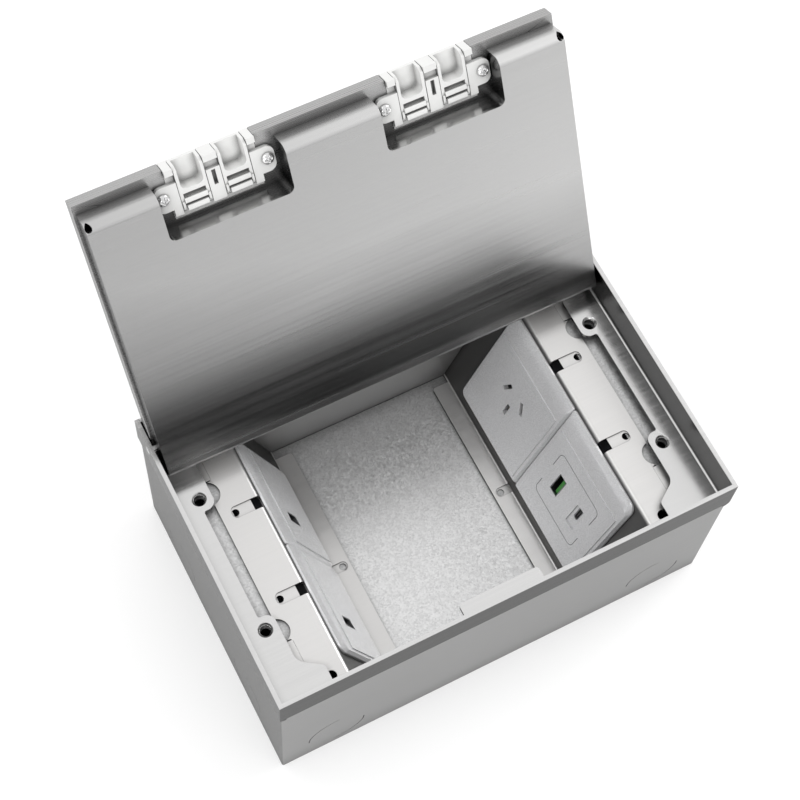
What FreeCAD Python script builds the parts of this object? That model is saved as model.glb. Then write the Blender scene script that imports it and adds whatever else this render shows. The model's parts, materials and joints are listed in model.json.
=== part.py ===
"""Floor socket box: a stainless rim with a hinged lid over a sheet steel box, four leaning modules inside.

Frame: X along the box (left is minus), Y from the front (minus) to the hinge side, Z up.
The origin is the centre of the underside.  The lid stands open, resting against its stop.
"""
import FreeCAD, Part
import math
import os
from FreeCAD import Matrix, Placement, Vector

os.makedirs("parts", exist_ok=True)

# ---------------------------------------------------------------- rim and box
box_length = 230.0          # outside of the rim, X
box_width = 149.4           # outside of the rim, Y
box_height = 102.2          # underside to the top of the rim
rim_wall = 2.0              # stainless strip
rim_height = 19.6           # front and rear strips
rail_bend = 1.2             # inner bend radius between a side rail and its ledge
body_sheet = 1.2
body_inset = 0.8            # box wall behind the outside of the rim
body_corner = 1.0
floor_sheet = 1.2
floor_plate_reach = 15.5    # galvanised floor plate, past the inner edge of each foot
wall_gap = 0.2              # loose plates stop this far from the box wall

ledge_drop = 19.3           # top of the ledges below the top of the rim
ledge_strip = 9.8           # ledge reach at the middle, from the inside of the rim
ledge_strip_end = 28.2      # half length of that narrow middle
ledge_wide = 16.4           # reach beside the ears
ledge_wide_setback = 19.2   # the wide part curves inward here, from the inside of the front strip
ledge_front_reach = 26.8    # reach at the front corners
ledge_front_depth = 12.2
ledge_hinge_gap = 9.2       # the ledge stops short of the hinge so that the lid can swing past
ledge_rear_corner = 3.0
ledge_sweep = 4.5           # curve between the middle and an ear
ledge_strip_corner = 1.0
ledge_front_sweep = 6.0
ledge_front_corner = 2.5
ear_hole_setback = 10.3     # from the inside of the rim
ear_hole_y = 34.6
ear_hole_diameter = 5.5
ear_sink_diameter = 7.0
ear_sink_depth = 0.8

knockout_diameter = 28.5
knockout_height = 19.0
knockout_end_setback = 28.2     # from the end walls of the box
knockout_side_setback = 37.9    # from the long walls of the box
knockout_groove = 0.5
knockout_arc = 100.0        # degrees of each scored arc

tab_half = 20.5
tab_reach = 10.7
tab_sheet = 2.0
tab_drop = 0.9              # below the ledges
tab_corner = 2.0

base_hole_end_setback = 16.0
base_hole_side_setback = 14.7
base_hole_diameter = 5.2

stud_setback = 15.0
stud_y = 8.0
stud_diameter = 5.0
stud_length = 16.0
stud_nut_across = 8.0
stud_nut_height = 4.0

# ---------------------------------------------------------------- module brackets
lean = 20.0                 # degrees from upright
bracket_sheet = 1.5
bracket_drop = 4.0          # below the ledges
bracket_fold_setback = 35.7 # fold between the top plate and the leaning web, from the inside of the rim
bracket_bend = 1.0
bracket_outer_setback = 16.0
bracket_end_setback = 19.7  # narrower towards both ends
bracket_corner = 1.5
bracket_narrow = 42.0
bracket_scoop_radius = 6.0
bracket_scoop_shift = 1.9   # from the hole in the ear towards the end
bracket_scoop_inward = 4.7  # from the hole in the ear towards the middle
foot_width = 9.5
foot_setback = 5.2          # from the inside of the front and rear strips
bracket_hole_setback = 27.6
bracket_hole_end = 7.4      # from the inside of the front and rear strips
bracket_hole_radius = 2.6

key_width = 6.0             # coined tongue with a hole at its end
key_depth = 0.7
key_y = 23.1
key_hole_setback = 22.9     # from the inside of the rim
key_corner = 2.4
key_hole_diameter = 3.6
key_notch = 4.0
foot_key_inset = 4.1
foot_key_y = 1.4
foot_key_width = 5.0
foot_key_length = 8.4

support_sheet = 1.5         # angle welded to the box wall under each bracket
support_setback = 22.0      # its inner edge, from the inside of the rim
support_half = 42.5
support_leg = 15.0

# ---------------------------------------------------------------- modules
module_drop = 2.6           # top edge of a module, down the web from the fold
module_pitch = 57.3
module_gap = 0.2
module_foot_gap = 7.2       # lower edge of a module above the fold of the foot, along the web
module_thickness = 2.5
module_corner = 4.5
module_inner_corner = 1.0
module_bevel_depth = 1.4
module_bevel_side = 1.2
module_bevel_top = 5.0
panel_inset = 2.9
panel_top = 14.0
panel_raise = 0.5
bevel_corner_loss = 0.4     # the inner corners tighten over the bevel
housing_width = 46.0
housing_start = 9.0
housing_end_gap = 9.0       # from the lower edge of the module
housing_depth = 28.0
housing_chamfer = 1.5
housing_gap = 0.3
clip_height = 2.0           # clips that hold the housing behind the web
clip_half = 5.0
clip_reach = 0.9            # past the edge of the window

socket_slope = 36.0
pin_spacing = 13.72         # live pins, centre to centre
pin_lean = 30.0
pin_slot_long = 7.2
pin_slot_wide = 2.2
live_rise = 3.2             # live slots above the centre of the pin circle
earth_drop = 7.0
contact_long = 7.6
contact_wide = 4.0
contact_leaf = 0.6
contact_depth = 15.0
contact_gap = 0.25
contact_lead = 1.0          # behind the front of the housing

usb_a_y = -19.8
usb_a_slope = 38.0
usb_a_long = 13.1
usb_a_wide = 5.9
charger_port_depth = 14.0
usb_a_tongue_long = 11.0
usb_a_tongue_wide = 1.9
usb_a_tongue_offset = 1.1
usb_c_y = -37.5
usb_c_slope = 36.5
usb_c_long = 8.8
usb_c_wide = 3.1
usb_c_tongue_long = 6.6
usb_c_tongue_wide = 0.8
usb_c_recess_long = 15.0
usb_c_recess_wide = 6.5
usb_c_recess_shift = 3.0
usb_c_recess_depth = 0.8
av_slope = 33.0
av_shift = 9.0              # towards the front from the middle of its module
av_long = 15.6
av_wide = 5.8
av_depth = 11.0
av_taper = 1.4
av_tongue_long = 10.4
av_tongue_wide = 1.1
shell_wall = 0.4
shell_gap = 0.15
tongue_setback = 1.2
board_sheet = 1.6
board_inset = 3.0
board_room = 0.2
board_leg = 2.6             # square posts under the corners of a board

# ---------------------------------------------------------------- lid (sizes as it lies closed)
lid_open_angle = 117.5
hinge_setback = 11.5        # from the inside of the rear strip
hinge_drop = 6.0            # below the top of the rim
lid_side_gap = 0.6
lid_front_gap = 0.4
lid_rear_gap = 1.9
lid_top_gap = 0.4           # below the top of the rim
tray_depth = 5.0            # room for the floor covering
tray_sheet = 1.5
pan_step = 1.3              # pan wall behind the outside of the tray
pan_setback = 4.3           # behind the free edge of the lid
pan_sheet = 1.2
pan_front_bend = 4.0
pan_side_bend = 2.5
pan_floor_gap = 0.3         # above the ledges
relief_radius = 1.5

pocket_x = 50.6
pocket_width = 57.0
pocket_depth = 22.0
pocket_corner = 3.0

hinge_pin_diameter = 4.0
hinge_pin_clearance = 0.04
hinge_block_length = 5.6
hinge_block_half = 5.0
hinge_block_trim = 0.4      # off its top, to stay below the covering
hinge_bush_diameter = 6.0
hinge_wall_clearance = 0.4
hinge_pin_inset = 0.3       # end of the pin inside its block

# cable outlets
outlet_x = 51.4
outlet_half = 27.3
outlet_thickness = 1.9
outlet_front_setback = 6.7  # these setbacks run from the free edge of the lid
outlet_rear_setback = 18.9
outlet_corner = 3.5
outlet_screw_offset = 23.8
outlet_screw_setback = 12.3
outlet_frame_half = 20.6    # raised frame that fills the gap in the tray
outlet_frame_setback = 24.7
outlet_step_setback = 13.1  # in front of this the frame is as high as the rim of the tray
outlet_block = 2.9          # depth of the filler blocks along the free edge
outlet_fit = 0.2
rib_slot_width = 1.8
rib_slot_length = 7.2
rib_slot_front = 0.8
rib_slot_roof = 0.5         # skin left above the slot
flap_offset = 9.9
flap_width = 13.0
flap_gap = 0.3
flap_skin = 1.8
flap_arm = 1.4
flap_low = 2.0              # arms below the underside of the tray
flap_scoop_depth = 11.3
flap_scoop_corner = 2.6
flap_wall = 2.0             # bar across the back of the scoop
flap_slit = 2.0
flap_foot = 2.8             # lower strip of the knuckle bar
flap_pivot_setback = 19.9
flap_pivot_rise = 0.2       # pivot above the underside of the tray
flap_end = 2.0              # rounded end of an arm behind its pivot
flap_corner = 1.85
flap_heel = 0.5             # room behind the arms
flap_pin_grip = 1.5         # the pin reaches this far into the bracket
flap_lift = 0.2             # the arms stop above the lowest line of the knuckles
flap_nose = 1.8             # slope at the front of the flap
flap_nose_rise = 0.3
flap_nose_corner = 1.0
flap_step = 0.7
flap_edge_inset = 0.1
flap_pin_diameter = 1.8
flap_pin_clearance = 0.05
screw_diameter = 3.0
screw_head_diameter = 5.6
screw_head_height = 1.9
screw_head_top = 3.6        # narrow end of the domed head
screw_head_rim = 0.8        # straight part of the head above the seat

# ---------------------------------------------------------------- worked out from the sizes above
rim_half_x = box_length / 2
rim_half_y = box_width / 2
inside_x = rim_half_x - rim_wall
inside_y = rim_half_y - rim_wall
body_half_x = rim_half_x - body_inset
body_half_y = rim_half_y - body_inset
rim_bottom = box_height - rim_height
ledge_top = box_height - ledge_drop
ledge_bottom = ledge_top - rim_wall
ledge_wide_end = inside_y - ledge_wide_setback
ledge_front_start = inside_y - ledge_front_depth
ear_hole_x = inside_x - ear_hole_setback
knockout_x = body_half_x - knockout_end_setback
knockout_y = body_half_y - knockout_side_setback
base_hole_x = inside_x - base_hole_end_setback
base_hole_y = inside_y - base_hole_side_setback
tab_top = ledge_top - tab_drop
stud_x = stud_setback - inside_x
floor_top = body_sheet + floor_sheet
lean_sine = math.sin(math.radians(lean))
lean_cosine = math.cos(math.radians(lean))
bracket_top = ledge_top - bracket_drop
bracket_fold_x = inside_x - bracket_fold_setback
bracket_outer = inside_x - bracket_outer_setback
bracket_outer_end = inside_x - bracket_end_setback
bracket_scoop_x = ear_hole_x - bracket_scoop_inward
bracket_scoop_y = ear_hole_y + bracket_scoop_shift
bracket_hole_x = inside_x - bracket_hole_setback
bracket_hole_y = inside_y - bracket_hole_end
foot_top = floor_top + bracket_sheet
web_length = (bracket_top - foot_top) / lean_cosine
foot_fold_x = bracket_fold_x - web_length * lean_sine
foot_inner_x = foot_fold_x - foot_width
foot_half = inside_y - foot_setback
floor_plate_half = foot_inner_x + floor_plate_reach
key_hole_x = inside_x - key_hole_setback
foot_key_x = foot_inner_x + foot_key_inset
support_inner = inside_x - support_setback
module_slope = web_length - module_drop - module_foot_gap
housing_end = module_slope - housing_end_gap
lid_top = box_height - lid_top_gap
tray_floor = lid_top - tray_depth
tray_under = tray_floor - tray_sheet
tray_side = inside_x - lid_side_gap
tray_wall = pan_step + pan_sheet
tray_inside = tray_side - tray_wall
pan_side = tray_side - pan_step
lid_edge = inside_y - lid_front_gap
tray_front = -lid_edge
tray_rear = inside_y - lid_rear_gap
pan_under = ledge_top + pan_floor_gap
pan_front = lid_edge - pan_setback
pocket_rear = pan_front - pocket_depth
hinge_y = inside_y - hinge_setback
hinge_z = box_height - hinge_drop
ledge_rear_end = hinge_y - ledge_hinge_gap
outlet_front = lid_edge - outlet_front_setback
outlet_rear = lid_edge - outlet_rear_setback
outlet_screw_y = lid_edge - outlet_screw_setback
outlet_frame_rear = lid_edge - outlet_frame_setback
outlet_step = lid_edge - outlet_step_setback
flap_scoop_rear = lid_edge - flap_scoop_depth
flap_pivot_y = lid_edge - flap_pivot_setback
pivot_z = tray_under + flap_pivot_rise


# ---------------------------------------------------------------- drawing helpers
def block(x0, x1, y0, y1, z0, z1):
    return Part.makeBox(x1 - x0, y1 - y0, z1 - z0, Vector(x0, y0, z0))


def rod(radius, start, direction, length):
    return Part.makeCylinder(radius, length, Vector(*start), Vector(*direction))


def rounded_wire(corners):
    """Closed outline in the XY plane; a corner is (x, y) or (x, y, radius)."""
    bends = []
    count = len(corners)
    for index, corner in enumerate(corners):
        here = Vector(corner[0], corner[1], 0)
        if len(corner) == 2:
            bends.append((here, None, here))
            continue
        before = corners[index - 1]
        after = corners[(index + 1) % count]
        back = (Vector(before[0], before[1], 0) - here).normalize()
        ahead = (Vector(after[0], after[1], 0) - here).normalize()
        half = back.getAngle(ahead) / 2
        reach = corner[2] / math.tan(half)
        inward = (back + ahead).normalize()
        middle = here + inward * (corner[2] / math.sin(half) - corner[2])
        bends.append((here + back * reach, middle, here + ahead * reach))
    edges = []
    for index, (first, middle, last) in enumerate(bends):
        previous = bends[index - 1][2]
        if previous.distanceToPoint(first) > 1e-6:
            edges.append(Part.makeLine(previous, first))
        if middle is not None:
            edges.append(Part.Arc(first, middle, last).toShape())
    return Part.Wire(edges)


def rounded_face(corners):
    return Part.Face(rounded_wire(corners))


def rectangle(x0, x1, y0, y1, radius=0.0):
    corners = [(x0, y0), (x1, y0), (x1, y1), (x0, y1)]
    if radius > 0:
        corners = [(x, y, radius) for x, y in corners]
    return corners


def plate(corners, z0, z1):
    """Outline in plan, raised from z0 to z1."""
    face = rounded_face(corners)
    face.translate(Vector(0, 0, z0))
    return face.extrude(Vector(0, 0, z1 - z0))


def along_y(corners, y0, y1):
    """Outline of (x, z) corners, run from y0 to y1."""
    face = rounded_face(corners)
    face.rotate(Vector(0, 0, 0), Vector(1, 0, 0), 90)
    face.translate(Vector(0, y0, 0))
    return face.extrude(Vector(0, y1 - y0, 0))


def along_x(corners, x0, x1):
    """Outline of (y, z) corners, run from x0 to x1."""
    face = rounded_face(corners)
    face.Placement = Placement(Matrix(0, 0, 1, x0, 1, 0, 0, 0, 0, 1, 0, 0, 0, 0, 0, 1))
    return face.extrude(Vector(x1 - x0, 0, 0))


def folded(path, thickness, bend):
    """Corners of a folded sheet; the path is its face on the right-hand side of travel."""
    points = [Vector(a, b, 0) for a, b in path]
    runs = [(points[i + 1] - points[i]).normalize() for i in range(len(points) - 1)]
    lefts = [Vector(-run.y, run.x, 0) for run in runs]
    near = [(points[0].x, points[0].y)]
    start = points[0] + lefts[0] * thickness
    far = [(start.x, start.y)]
    for i in range(1, len(points) - 1):
        turn = runs[i - 1].x * runs[i].y - runs[i - 1].y * runs[i].x
        mitre = lefts[i - 1] + lefts[i]
        mitre = mitre * (2 * thickness / mitre.dot(mitre))
        other = points[i] + mitre
        near.append((points[i].x, points[i].y, bend + thickness if turn > 0 else bend))
        far.append((other.x, other.y, bend if turn > 0 else bend + thickness))
    last = points[-1] + lefts[-1] * thickness
    near.append((points[-1].x, points[-1].y))
    far.append((last.x, last.y))
    return near + far[::-1]


def mirrored(shape):
    return shape.mirror(Vector(0, 0, 0), Vector(1, 0, 0))


def joined(shapes):
    result = shapes[0]
    for shape in shapes[1:]:
        result = result.fuse(shape)
    return result.removeSplitter()


def without(shape, cutters):
    for cutter in cutters:
        shape = shape.cut(cutter)
    return shape


def save(name, shape):
    shape.exportStep("parts/" + name + ".step")


def opened(shape):
    """A lid piece turned from its closed place to the open stop."""
    turned = shape.copy()
    turned.rotate(Vector(0, hinge_y, hinge_z), Vector(1, 0, 0), -lid_open_angle)
    return turned


# ---------------------------------------------------------------- rim
def right_side_rail():
    """Side strip of the rim, folded inward at its foot into the ledge with the two ears."""
    path = [(inside_x - ledge_front_reach, ledge_bottom), (rim_half_x, ledge_bottom), (rim_half_x, box_height)]
    sheet = along_y(folded(path, rim_wall, rail_bend), -rim_half_y, rim_half_y)
    strip = inside_x - ledge_strip
    wide = inside_x - ledge_wide
    front = inside_x - ledge_front_reach
    bend_start = inside_x - rail_bend
    outline = [
        (rim_half_x, -rim_half_y), (rim_half_x, rim_half_y), (inside_x, rim_half_y),
        (inside_x, ledge_rear_end), (wide, ledge_rear_end, ledge_rear_corner),
        (wide, ledge_strip_end, ledge_sweep),
        (strip, ledge_strip_end, ledge_strip_corner), (strip, -ledge_strip_end, ledge_strip_corner),
        (wide, -ledge_strip_end, ledge_sweep), (wide, -ledge_wide_end, ledge_front_sweep),
        (front, -ledge_front_start, ledge_front_corner), (front, -inside_y),
        (bend_start, -inside_y), (bend_start, -rim_half_y),
    ]
    rail = sheet.common(plate(outline, ledge_bottom - 1, box_height + 1))
    for side in (-1, 1):
        centre = (ear_hole_x, side * ear_hole_y, ledge_bottom)
        hole = rod(ear_hole_diameter / 2, centre, (0, 0, 1), rim_wall)
        sink = Part.makeCone(ear_hole_diameter / 2, ear_sink_diameter / 2, ear_sink_depth,
                             Vector(ear_hole_x, side * ear_hole_y, ledge_top - ear_sink_depth))
        rail = rail.cut(hole).cut(sink)
    bore = rod(hinge_pin_diameter / 2, (inside_x, hinge_y, hinge_z), (1, 0, 0), rim_wall)
    return rail.cut(bore)


def end_strip(y0, y1, rails):
    strip = block(-inside_x, inside_x, y0, y1, rim_bottom, box_height)
    return without(strip, rails)


# ---------------------------------------------------------------- box
def knockout_score(centre, outward):
    """Two scored arcs that leave a blank to be pressed out for a conduit."""
    radius = knockout_diameter / 2
    half = knockout_groove / 2
    start = Vector(*centre) - Vector(*outward) * knockout_groove
    ring = Part.makeCylinder(radius + half, 2 * knockout_groove, start, Vector(*outward))
    ring = ring.cut(Part.makeCylinder(radius - half, 2 * knockout_groove, start, Vector(*outward)))
    bridge = knockout_diameter * math.sin(math.radians(90 - knockout_arc / 2))
    if outward[0]:
        bar = block(-1, 1, -bridge / 2, bridge / 2, -knockout_diameter, knockout_diameter)
        bar.rotate(Vector(0, 0, 0), Vector(1, 0, 0), -45)
    else:
        bar = block(-bridge / 2, bridge / 2, -1, 1, -knockout_diameter, knockout_diameter)
        bar.rotate(Vector(0, 0, 0), Vector(0, 1, 0), 45)
    bar.translate(Vector(*centre))
    return ring.cut(bar)


def body_box(rails):
    shell = block(-body_half_x, body_half_x, -body_half_y, body_half_y, 0, rim_bottom)
    upright = [edge for edge in shell.Edges if edge.BoundBox.ZLength > rim_bottom / 2]
    shell = shell.makeFillet(body_corner, upright)
    shell = shell.cut(block(-inside_x, inside_x, -inside_y, inside_y, body_sheet, rim_bottom + 1))
    scores = []
    for side in (-1, 1):
        for x in (-knockout_x, knockout_x):
            scores.append(knockout_score((x, side * body_half_y, knockout_height), (0, side, 0)))
        for y in (-knockout_y, knockout_y):
            scores.append(knockout_score((side * body_half_x, y, knockout_height), (side, 0, 0)))
    holes = []
    for x in (-base_hole_x, base_hole_x):
        for y in (-base_hole_y, base_hole_y):
            holes.append(rod(base_hole_diameter / 2, (x, y, -1), (0, 0, 1), body_sheet + 2))
    return without(shell, scores + holes + rails)


def floor_plate():
    return plate(rectangle(-floor_plate_half, floor_plate_half, wall_gap - inside_y, inside_y - wall_gap),
                 body_sheet, floor_top)


def front_tab():
    corners = [(-tab_half, -inside_y), (tab_half, -inside_y),
               (tab_half, tab_reach - inside_y, tab_corner), (-tab_half, tab_reach - inside_y, tab_corner)]
    return plate(corners, tab_top - tab_sheet, tab_top)


def earth_stud():
    stud = rod(stud_diameter / 2, (stud_x, stud_y, body_sheet), (0, 0, 1), stud_length)
    corners = []
    for step in range(6):
        angle = math.radians(60 * step)
        reach = stud_nut_across / 2 / math.cos(math.radians(30))
        corners.append((stud_x + reach * math.cos(angle), stud_y + reach * math.sin(angle)))
    nut = plate(corners, body_sheet, body_sheet + stud_nut_height)
    return stud.fuse(nut).removeSplitter()


def right_support_angle():
    """Angle welded to the side wall; the top plate of the bracket lies on it."""
    top = bracket_top - bracket_sheet
    path = [(inside_x, top - support_leg), (inside_x, top), (support_inner, top)]
    angle = along_y(folded(path, support_sheet, bracket_bend), -support_half, support_half)
    for side in (-1, 1):
        angle = angle.cut(rod(ear_hole_diameter / 2, (ear_hole_x, side * ear_hole_y, top - 5), (0, 0, 1), 10))
    return angle


# ---------------------------------------------------------------- module brackets
def on_web(shape, side):
    """Place a shape drawn flat on a module face: X across, Y down the slope, Z out of the face."""
    down = module_drop * lean_cosine
    corner_x = bracket_fold_x - module_drop * lean_sine - module_thickness * lean_cosine
    corner_z = bracket_top - down + module_thickness * lean_sine
    matrix = Matrix(0, -side * lean_sine, -side * lean_cosine, side * corner_x,
                    side, 0, 0, 0,
                    0, -lean_cosine, lean_sine, corner_z,
                    0, 0, 0, 1)
    placed = shape.copy()
    placed.Placement = Placement(matrix).multiply(placed.Placement)
    return placed


def bracket_outline():
    """Plan of the bracket: a foot shorter than the web, and a top plate narrowed at both ends."""
    end = inside_y - wall_gap
    fold = foot_fold_x - bracket_sheet * math.tan(math.radians(lean))
    lower = [(foot_inner_x, -foot_half, bracket_corner), (fold, -foot_half), (fold, -end),
             (bracket_outer_end, -end), (bracket_outer_end, -bracket_narrow, bracket_corner),
             (bracket_outer, -bracket_narrow, bracket_corner)]
    upper = [(x, -y, *rest) for x, y, *rest in lower[::-1]]
    return lower + upper


def right_bracket():
    """Top plate, leaning web and foot folded from one sheet."""
    path = [(bracket_outer, bracket_top), (bracket_fold_x, bracket_top),
            (foot_fold_x, foot_top), (foot_inner_x, foot_top)]
    end = inside_y - wall_gap
    sheet = along_y(folded(path, bracket_sheet, bracket_bend), -end, end)
    sheet = sheet.common(plate(bracket_outline(), 0, bracket_top + 1))
    cutters = []
    for side in (-1, 1):
        cutters.append(rod(bracket_scoop_radius, (bracket_scoop_x, side * bracket_scoop_y, bracket_top - 5),
                           (0, 0, 1), 10))
        cutters.append(rod(bracket_hole_radius, (bracket_hole_x, side * bracket_hole_y, bracket_top - 5),
                           (0, 0, 1), 10))
        y0 = side * key_y - key_width / 2
        y1 = side * key_y + key_width / 2
        tongue_end = key_hole_x + key_hole_diameter / 2
        tongue = [(bracket_fold_x, y0), (tongue_end, y0, key_corner),
                  (tongue_end, y1, key_corner), (bracket_fold_x, y1)]
        cutters.append(plate(tongue, bracket_top - key_depth, bracket_top + 1))
        cutters.append(rod(key_hole_diameter / 2, (key_hole_x, side * key_y, bracket_top - 5), (0, 0, 1), 10))
        cutters.append(block(bracket_fold_x - 3, bracket_fold_x + key_notch, y0, y1,
                             bracket_top - 6, bracket_top + 1))
        middle = side * module_pitch / 2
        half = housing_width / 2 + housing_gap
        window = block(middle - half, middle + half, housing_start - housing_gap, housing_end + housing_gap,
                       -module_thickness - 3 * bracket_sheet, -module_thickness + bracket_sheet)
        cutters.append(on_web(window, 1))
    key_start = foot_key_x - foot_key_width / 2
    foot_key = plate([(key_start, foot_key_y - foot_key_width / 2, key_corner),
                      (key_start + foot_key_length, foot_key_y - foot_key_width / 2),
                      (key_start + foot_key_length, foot_key_y + foot_key_width / 2),
                      (key_start, foot_key_y + foot_key_width / 2, key_corner)],
                     foot_top - key_depth, foot_top + 8)
    cutters.append(foot_key)
    cutters.append(rod(key_hole_diameter / 2, (foot_key_x, foot_key_y, floor_top - 1), (0, 0, 1), 5))
    return without(sheet, cutters)


# ---------------------------------------------------------------- modules, drawn flat
def module_face(hand):
    """Face plate with a wide bevel at the top, narrow ones elsewhere and a raised panel."""
    near = hand * module_gap / 2
    far = hand * (module_pitch - module_gap / 2)

    def outline(side, top, height, shrink):
        left, right = near + hand * side, far - hand * side
        corners = [(left, top, module_inner_corner - shrink), (right, top, module_corner - side),
                   (right, module_slope - side, module_corner - side),
                   (left, module_slope - side, module_inner_corner - shrink)]
        wire = rounded_wire(corners)
        wire.translate(Vector(0, 0, height))
        return wire

    base = Part.Face(outline(0, 0, -module_thickness, 0))
    base = base.extrude(Vector(0, 0, module_thickness - module_bevel_depth))
    bevel = Part.makeLoft([outline(0, 0, -module_bevel_depth, 0),
                           outline(module_bevel_side, module_bevel_top, 0, bevel_corner_loss)], True, True)
    low, high = sorted((near + hand * panel_inset, far - hand * panel_inset))
    panel = block(low, high, panel_top, module_slope - panel_inset, -module_bevel_depth, panel_raise)
    return joined([base, bevel, panel])


def module_housing(hand):
    middle = hand * module_pitch / 2
    half = housing_width / 2
    back = -module_thickness - housing_depth
    housing = block(middle - half, middle + half, housing_start, housing_end, back, -module_thickness)
    rear_edges = [edge for edge in housing.Edges if edge.BoundBox.ZMax < back + 0.01]
    housing = housing.makeChamfer(housing_chamfer, rear_edges)
    clips = []
    clip_top = -module_thickness - bracket_sheet
    centre = (housing_start + housing_end) / 2
    for side in (-1, 1):
        low, high = sorted((middle + side * (half - 1), middle + side * (half + housing_gap + clip_reach)))
        clips.append(block(low, high, centre - clip_half, centre + clip_half, clip_top - clip_height, clip_top))
    return joined([housing] + clips)


def leaning_slot(x, y, long, wide, angle, z0, z1):
    """Slot with its length down the slope, turned by an angle about its middle."""
    slot = block(-wide / 2, wide / 2, -long / 2, long / 2, z0, z1)
    slot.rotate(Vector(0, 0, 0), Vector(0, 0, 1), angle)
    slot.translate(Vector(x, y, 0))
    return slot


def socket_places(middle):
    return [(middle - pin_spacing / 2, socket_slope - live_rise, pin_lean),
            (middle + pin_spacing / 2, socket_slope - live_rise, -pin_lean),
            (middle, socket_slope + earth_drop, 0)]


def socket_contact(x, y, angle):
    """Spring contact: two leaves joined at the back."""
    top = -module_thickness - contact_lead
    base = top - contact_depth
    outer = leaning_slot(x, y, contact_long, contact_wide, angle, base, top)
    inner = leaning_slot(x, y, contact_long + 1, contact_wide - 2 * contact_leaf, angle,
                         base + contact_leaf, top + 1)
    return outer.cut(inner)


def socket_module():
    middle = module_pitch / 2
    face = module_face(1)
    housing = module_housing(1)
    contacts = []
    for x, y, angle in socket_places(middle):
        face = face.cut(leaning_slot(x, y, pin_slot_long, pin_slot_wide, angle,
                                     -module_thickness - 1, panel_raise + 1))
        base = -module_thickness - contact_lead - contact_depth
        room = leaning_slot(x, y, contact_long + 2 * contact_gap, contact_wide + 2 * contact_gap, angle,
                            base, -module_thickness + 1)
        housing = housing.cut(room)
        contacts.append(socket_contact(x, y, angle))
    return face, housing, contacts


def port_outline(x, y, wide, long, corner, taper=0.0):
    """Opening with its length down the slope; a taper narrows its far side."""
    corners = [(x - wide / 2, y - long / 2 + taper), (x + wide / 2, y - long / 2),
               (x + wide / 2, y + long / 2), (x - wide / 2, y + long / 2 - taper)]
    if corner < shell_wall:
        return corners
    return [(px, py, corner) for px, py in corners]


def port(x, y, wide, long, depth, corner, taper, tongue_x, tongue_wide, tongue_long):
    """Opening for the face and housing, the metal shell in it, and the contact tongue."""
    front = panel_raise
    back = -depth
    opening = plate(port_outline(x, y, wide, long, corner, taper), back, front + 1)
    wide -= 2 * shell_gap
    long -= 2 * shell_gap
    shell = plate(port_outline(x, y, wide, long, corner, taper), back, front - shell_gap)
    bore_wide = wide - 2 * shell_wall
    bore_long = long - 2 * shell_wall
    bore_corner = max(corner - shell_wall, 0.0)
    bore = plate(port_outline(x, y, bore_wide, bore_long, bore_corner, taper), back + shell_wall, front + 1)
    shell = shell.cut(bore)
    tongue = block(tongue_x - tongue_wide / 2, tongue_x + tongue_wide / 2,
                   y - tongue_long / 2, y + tongue_long / 2, back + shell_wall, front - tongue_setback)
    return opening, shell, tongue


def board_for(hand, depth):
    """Circuit board behind the ports, and the room it needs in the housing."""
    middle = hand * module_pitch / 2
    half = housing_width / 2 - board_inset
    start, end = housing_start + board_inset, housing_end - board_inset
    board = block(middle - half, middle + half, start, end, -depth - board_sheet, -depth)
    low = -depth - 3 * board_sheet
    room = block(middle - half - board_room, middle + half + board_room, start - board_room, end + board_room,
                 low, -depth)
    legs = []
    for x in (middle - half, middle + half - board_leg):
        for y in (start, end - board_leg):
            legs.append(block(x, x + board_leg, y, y + board_leg, low - 1, low + 2 * board_sheet))
    return board, without(room, legs)


def charger_module():
    face = module_face(-1)
    housing = module_housing(-1)
    recess_x = usb_c_y
    recess_y = usb_c_slope + usb_c_recess_shift
    recess = plate(port_outline(recess_x, recess_y, usb_c_recess_wide, usb_c_recess_long, 1.2),
                   panel_raise - usb_c_recess_depth, panel_raise + 1)
    face = face.cut(recess)
    large = port(usb_a_y, usb_a_slope, usb_a_wide, usb_a_long, charger_port_depth, 0.5, 0.0,
                 usb_a_y - usb_a_tongue_offset, usb_a_tongue_wide, usb_a_tongue_long)
    small = port(usb_c_y, usb_c_slope, usb_c_wide, usb_c_long, charger_port_depth, usb_c_wide / 2 - 0.2, 0.0,
                 usb_c_y, usb_c_tongue_wide, usb_c_tongue_long)
    trim = block(usb_c_y - 10, usb_c_y + 10, 0, module_slope, panel_raise - usb_c_recess_depth - shell_gap, 5)
    board, room = board_for(-1, charger_port_depth)
    openings = [large[0], small[0]]
    face = without(face, openings)
    housing = without(housing, openings + [room])
    return face, housing, board, large[1], large[2], small[1].cut(trim), small[2].cut(trim)


def av_module(hand):
    """Data or picture port; it lies towards the front of its module on either place."""
    face = module_face(hand)
    housing = module_housing(hand)
    x = hand * module_pitch / 2 + av_shift
    opening, shell, tongue = port(x, av_slope, av_wide, av_long, av_depth, 0.6, av_taper,
                                  x + 0.4, av_tongue_wide, av_tongue_long)
    board, room = board_for(hand, av_depth)
    return face.cut(opening), without(housing, [opening, room]), board, shell, tongue


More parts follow.
